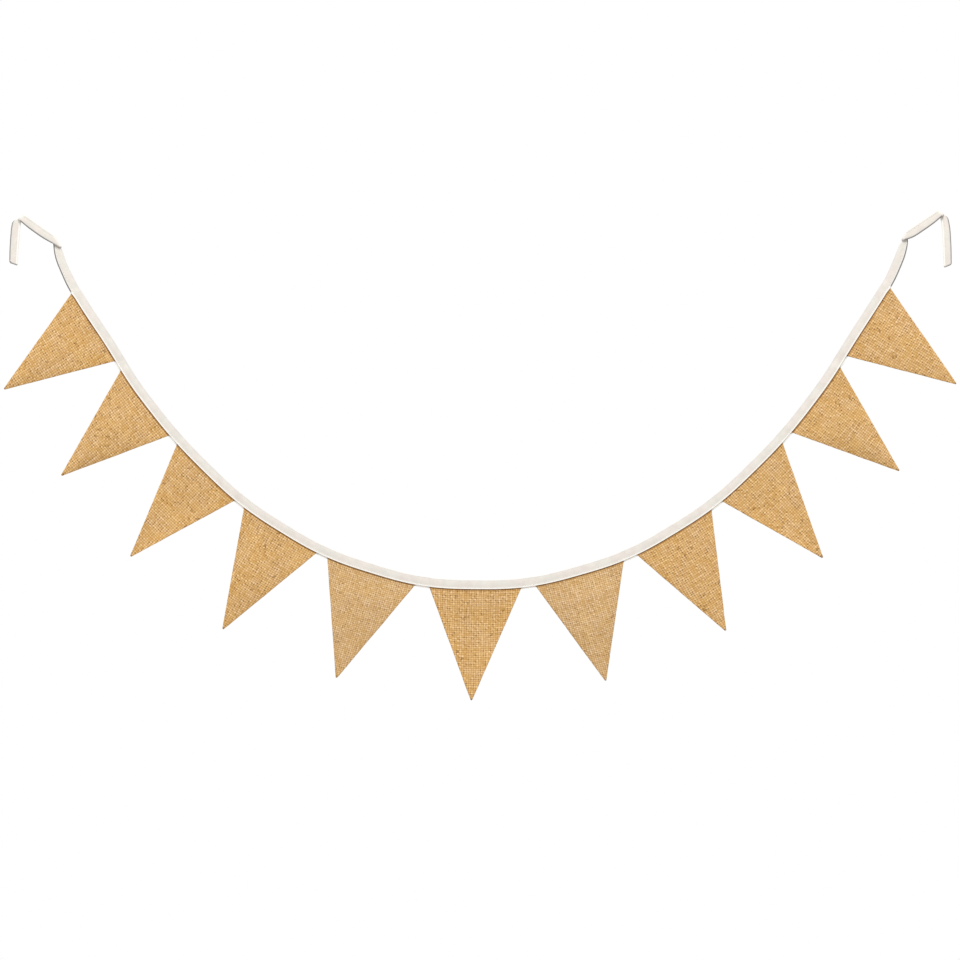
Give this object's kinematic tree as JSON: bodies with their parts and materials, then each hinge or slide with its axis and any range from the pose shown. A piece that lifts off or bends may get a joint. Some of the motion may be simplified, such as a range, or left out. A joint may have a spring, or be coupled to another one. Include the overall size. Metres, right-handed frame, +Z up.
{
  "type": "fabric bunting",
  "caption": "Garland of hessian triangle pennants sewn into the fold of a cotton binding tape, hanging in a deep curve from its two long ties.",
  "frame": {"origin": "in the bunting's own plane, midway between the two bends where its ties are held", "axes": "+X to the viewer's right along the hanging width, +Y away from the viewer through the cloth, +Z up"},
  "size_m": [1.0472, 0.0077, 0.5403],
  "materials": {
    "cotton_tape": "matt off-white woven cotton",
    "hessian": "matt natural jute, coarse plain weave"
  },
  "bodies": {
    "root": {"binding_tape": "cotton_tape", "pennant_01": "hessian", "pennant_02": "hessian", "pennant_03": "hessian", "pennant_04": "hessian", "pennant_05": "hessian", "pennant_06": "hessian", "pennant_07": "hessian", "pennant_08": "hessian", "pennant_09": "hessian", "pennant_10": "hessian", "pennant_11": "hessian"}
  },
  "joints": []
}
